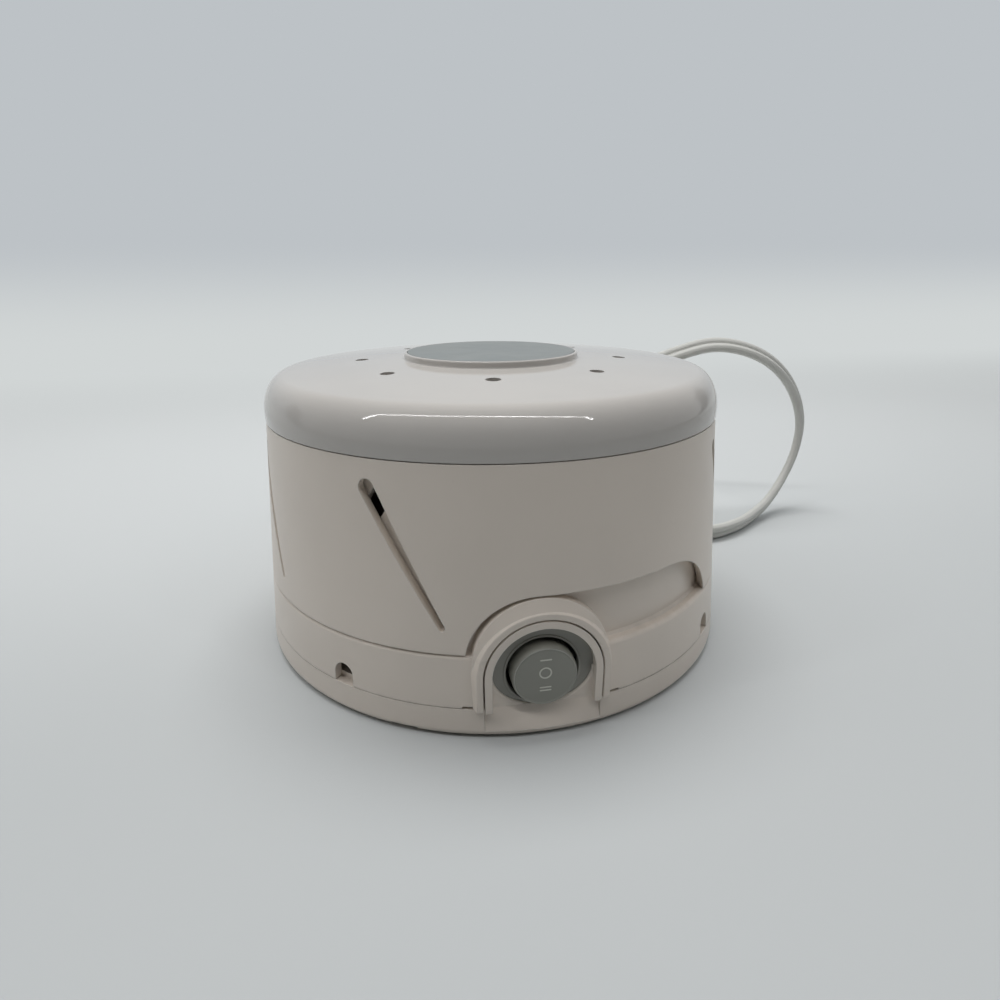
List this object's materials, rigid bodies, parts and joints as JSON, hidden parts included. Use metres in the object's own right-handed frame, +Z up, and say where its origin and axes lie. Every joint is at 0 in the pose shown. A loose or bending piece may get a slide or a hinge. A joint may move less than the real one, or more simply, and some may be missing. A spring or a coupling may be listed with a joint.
{
  "type": "white noise sound machine",
  "caption": "Fan-driven white noise machine: a tapered round housing with a turning slotted collar, a turning perforated cap, a round rocker switch and a mains lead.",
  "frame": {"origin": "centre of the base on the table, under the axis of the round housing", "axes": "+Z up along the axis of the cap, the collar and the fan; the rocker switch faces -Y and the cord leaves at +Y"},
  "size_m": [0.2316, 0.2755, 0.0833],
  "materials": {
    "shell": "fine satin moulding, warm off-white",
    "cap": "semi-gloss moulding, warm off-white",
    "badge": "satin grey-blue, bare",
    "grey_plastic": "satin mid grey",
    "black_plastic": "satin black",
    "vinyl": "soft sheen, off-white",
    "nylon": "natural nylon",
    "rubber": "matt black",
    "zinc": "zinc-plated steel",
    "core_steel": "oiled laminated steel",
    "bronze": "sintered bronze",
    "brass": "plain stamped brass",
    "copper": "enamelled copper wire"
  },
  "bodies": {
    "base": {"bottom_cover": "shell", "housing": "shell", "switch_bezel": "grey_plastic", "switch_body": "black_plastic", "switch_terminals": "brass", "rubber_feet": "rubber", "cover_screws": "zinc", "motor_plate": "zinc", "mount_grommets": "rubber", "mount_screws": "zinc", "lower_bracket": "zinc", "upper_bracket": "zinc", "lower_bearing": "bronze", "upper_bearing": "bronze", "lamination_stack": "core_steel", "coil_bobbin": "nylon", "coil_winding": "copper", "shading_rings": "copper", "motor_screws": "zinc", "motor_nuts": "zinc", "strain_relief": "vinyl", "supply_leads": "vinyl", "switch_leads": "black_plastic", "coil_lead": "vinyl", "lead_connectors": "nylon", "cord_lead": "vinyl", "cord_run": "vinyl", "cord_coil": "vinyl", "cord_tie": "nylon", "plug_body": "vinyl", "plug_blades": "brass"},
    "collar": {"collar": "shell"},
    "cap": {"cap": "cap", "badge_disc": "badge", "cap_washer": "zinc", "cap_screw": "zinc"},
    "rocker": {"rocker": "grey_plastic"},
    "fan": {"rotor": "core_steel", "motor_shaft": "zinc", "fan": "nylon", "fan_collar": "zinc"}
  },
  "joints": [
    {"name": "collar_turn", "type": "hinge", "parent": "base", "child": "collar", "pos_m": [0, 0, 0.045], "axis": [0, 0, 1], "range_deg": [-32, 1]},
    {"name": "cap_turn", "type": "hinge", "parent": "base", "child": "cap", "pos_m": [0, 0, 0.075], "axis": [0, 0, 1], "range_deg": [0, 22.5]},
    {"name": "rocker_tilt", "type": "hinge", "parent": "base", "child": "rocker", "pos_m": [0, -0.06411, 0.01682], "axis": [1, 0, 0], "range_deg": [-8, 8]},
    {"name": "fan_spin", "type": "hinge", "parent": "base", "child": "fan", "pos_m": [0, 0, 0.035], "axis": [0, 0, 1], "continuous": true}
  ]
}
